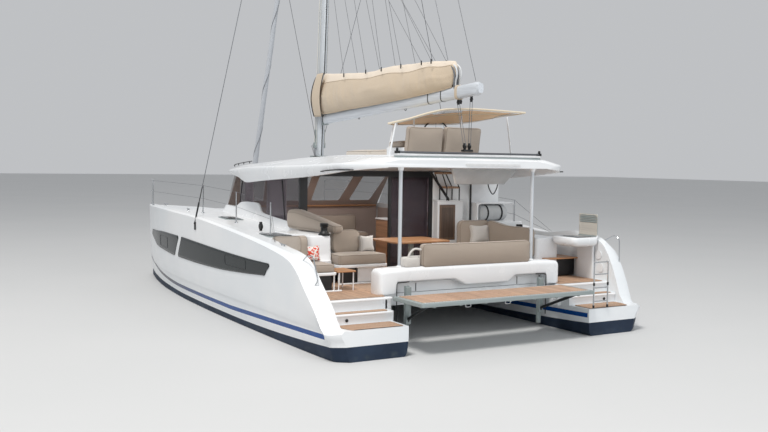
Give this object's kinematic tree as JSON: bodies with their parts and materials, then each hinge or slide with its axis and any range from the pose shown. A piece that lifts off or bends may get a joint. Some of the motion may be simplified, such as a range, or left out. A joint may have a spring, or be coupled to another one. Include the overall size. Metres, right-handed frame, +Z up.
{
  "type": "sailing catamaran",
  "caption": "Cruising catamaran afloat: twin hulls, saloon, sail bag on the boom, roof helm under a canopy, stern lift platform and furled headsail.",
  "frame": {"origin": "on the waterline, on the centreline, halfway along the hulls", "axes": "+X to the bow, +Y to port, +Z up"},
  "size_m": [12.165, 6.6, 19],
  "materials": {
    "gelcoat": "glossy white gelcoat",
    "grey_moulding": "satin pale grey gelcoat",
    "tinted_glass": "tinted clear",
    "dark_frame": "satin black",
    "teak": "weathered teak planks",
    "wood": "satin varnish",
    "cushion": "outdoor weave",
    "canvas": "sewn canvas",
    "spar": "anodised",
    "steel": "polished",
    "net": "woven net",
    "black": "satin",
    "bronze": "dull bronze"
  },
  "bodies": {
    "craft": {"hull_port": "gelcoat", "hull_starboard": "gelcoat", "bridge_deck": "gelcoat", "aft_beam": "gelcoat", "saloon_wall_port": "gelcoat", "saloon_wall_starboard": "gelcoat", "screen_wall": "gelcoat", "roof": "gelcoat", "canopy_frame": "gelcoat", "cockpit_moulding_port": "gelcoat", "cockpit_moulding_starboard": "gelcoat", "galley_counter": "gelcoat", "drive_leg_port": "grey_moulding", "drive_leg_starboard": "grey_moulding", "helm_footwell": "grey_moulding", "side_glass_port": "tinted_glass", "side_glass_starboard": "tinted_glass", "screen_glass": "tinted_glass", "bulkhead_glass": "tinted_glass", "aft_bulkhead": "dark_frame", "cockpit_table": "teak", "saloon_furniture": "wood", "helm_cushions": "cushion", "roof_pad": "cushion", "lounge_cushions": "cushion", "bench_cushions": "cushion", "sofa_cushions": "cushion", "aft_bench_back": "cushion", "canopy": "canvas", "crossbeam": "spar", "traveller_track": "spar", "mast": "spar", "shroud_port": "steel", "shroud_starboard": "steel", "pulpit_port": "steel", "pulpit_starboard": "steel", "net_port": "net", "net_starboard": "net"},
    "boom_body": {"boom": "spar", "sail_bag": "canvas"},
    "wheel_body": {"steering_wheel": "black"},
    "rudder_body_port": {"rudder_port": "gelcoat"},
    "rudder_body_starboard": {"rudder_starboard": "gelcoat"},
    "propeller_body_port": {"propeller_port": "bronze"},
    "propeller_body_starboard": {"propeller_starboard": "bronze"},
    "platform_body": {"lift_platform": "teak"},
    "door_body_inner": {"door_leaf_inner": "tinted_glass"},
    "door_body_outer": {"door_leaf_outer": "tinted_glass"},
    "car_body": {"traveller_car": "black"},
    "headsail_body": {"furled_headsail": "canvas"},
    "cabinet_door_body": {"cabinet_door": "wood"},
    "grill_lid_body": {"grill_lid": "steel"},
    "ladder_body": {"swim_ladder": "steel"},
    "locker_lid_body_port": {"locker_lid_port": "gelcoat"},
    "locker_lid_body_starboard": {"locker_lid_starboard": "gelcoat"}
  },
  "joints": [
    {"name": "boom_swing", "type": "hinge", "parent": "craft", "child": "boom_body", "pos_m": [0.8083, 0, 3.95], "axis": [0, 0, 1], "range_deg": [-66, 66]},
    {"name": "wheel_turn", "type": "hinge", "parent": "craft", "child": "wheel_body", "pos_m": [-2.93, -0.58, 3.53], "axis": [1, 0, 0], "range_deg": [-540, 540]},
    {"name": "rudder_turn_port", "type": "hinge", "parent": "craft", "child": "rudder_body_port", "pos_m": [-5.15, 2.56, -0.5], "axis": [0, 0, 1], "range_deg": [-35.01, 35.01]},
    {"name": "rudder_turn_starboard", "type": "hinge", "parent": "craft", "child": "rudder_body_starboard", "pos_m": [-5.15, -2.56, -0.5], "axis": [0, 0, 1], "range_deg": [-35.01, 35.01]},
    {"name": "propeller_spin_port", "type": "hinge", "parent": "craft", "child": "propeller_body_port", "pos_m": [-4.5, 2.56, -0.7], "axis": [1, 0, 0], "continuous": true},
    {"name": "propeller_spin_starboard", "type": "hinge", "parent": "craft", "child": "propeller_body_starboard", "pos_m": [-4.5, -2.56, -0.7], "axis": [1, 0, 0], "continuous": true},
    {"name": "platform_lift", "type": "slide", "parent": "craft", "child": "platform_body", "axis": [0, 0, 1], "range_m": [-0.8, 0]},
    {"name": "door_slide_inner", "type": "slide", "parent": "craft", "child": "door_body_inner", "axis": [0, 1, 0], "range_m": [0, 0.92]},
    {"name": "door_slide_outer", "type": "slide", "parent": "craft", "child": "door_body_outer", "axis": [0, 1, 0], "range_m": [0, 1.84]},
    {"name": "traveller_slide", "type": "slide", "parent": "craft", "child": "car_body", "axis": [0, 1, 0], "range_m": [-1.5, 1.3]},
    {"name": "headsail_furl", "type": "hinge", "parent": "craft", "child": "headsail_body", "pos_m": [5.204, 0, 1.9272], "axis": [-0.3191, 0, 0.9477], "range_deg": [-4320, 0]},
    {"name": "cabinet_door_swing", "type": "hinge", "parent": "craft", "child": "cabinet_door_body", "pos_m": [-2.4, -1.06, 1.81], "axis": [0, 0, -1], "range_deg": [0, 100]},
    {"name": "grill_lid_close", "type": "hinge", "parent": "craft", "child": "grill_lid_body", "pos_m": [-4.735, -2.95, 1.672], "axis": [-1, 0, 0], "range_deg": [0, 90]},
    {"name": "ladder_swing", "type": "hinge", "parent": "craft", "child": "ladder_body", "pos_m": [-5.99, -2.125, 0.5], "axis": [0, -1, 0], "range_deg": [0, 180]},
    {"name": "locker_lid_port_open", "type": "hinge", "parent": "craft", "child": "locker_lid_body_port", "pos_m": [2.9, 0.875, 1.8523], "axis": [0, 1, 0], "range_deg": [0, 95]},
    {"name": "locker_lid_starboard_open", "type": "hinge", "parent": "craft", "child": "locker_lid_body_starboard", "pos_m": [2.9, -0.875, 1.8523], "axis": [0, 1, 0], "range_deg": [0, 95]}
  ],
  "couplings": [
    {"joint": "rudder_turn_port", "follows": "wheel_turn", "ratio": 0.064815},
    {"joint": "rudder_turn_starboard", "follows": "wheel_turn", "ratio": 0.064815},
    {"joint": "door_slide_outer", "follows": "door_slide_inner", "ratio": 2}
  ]
}
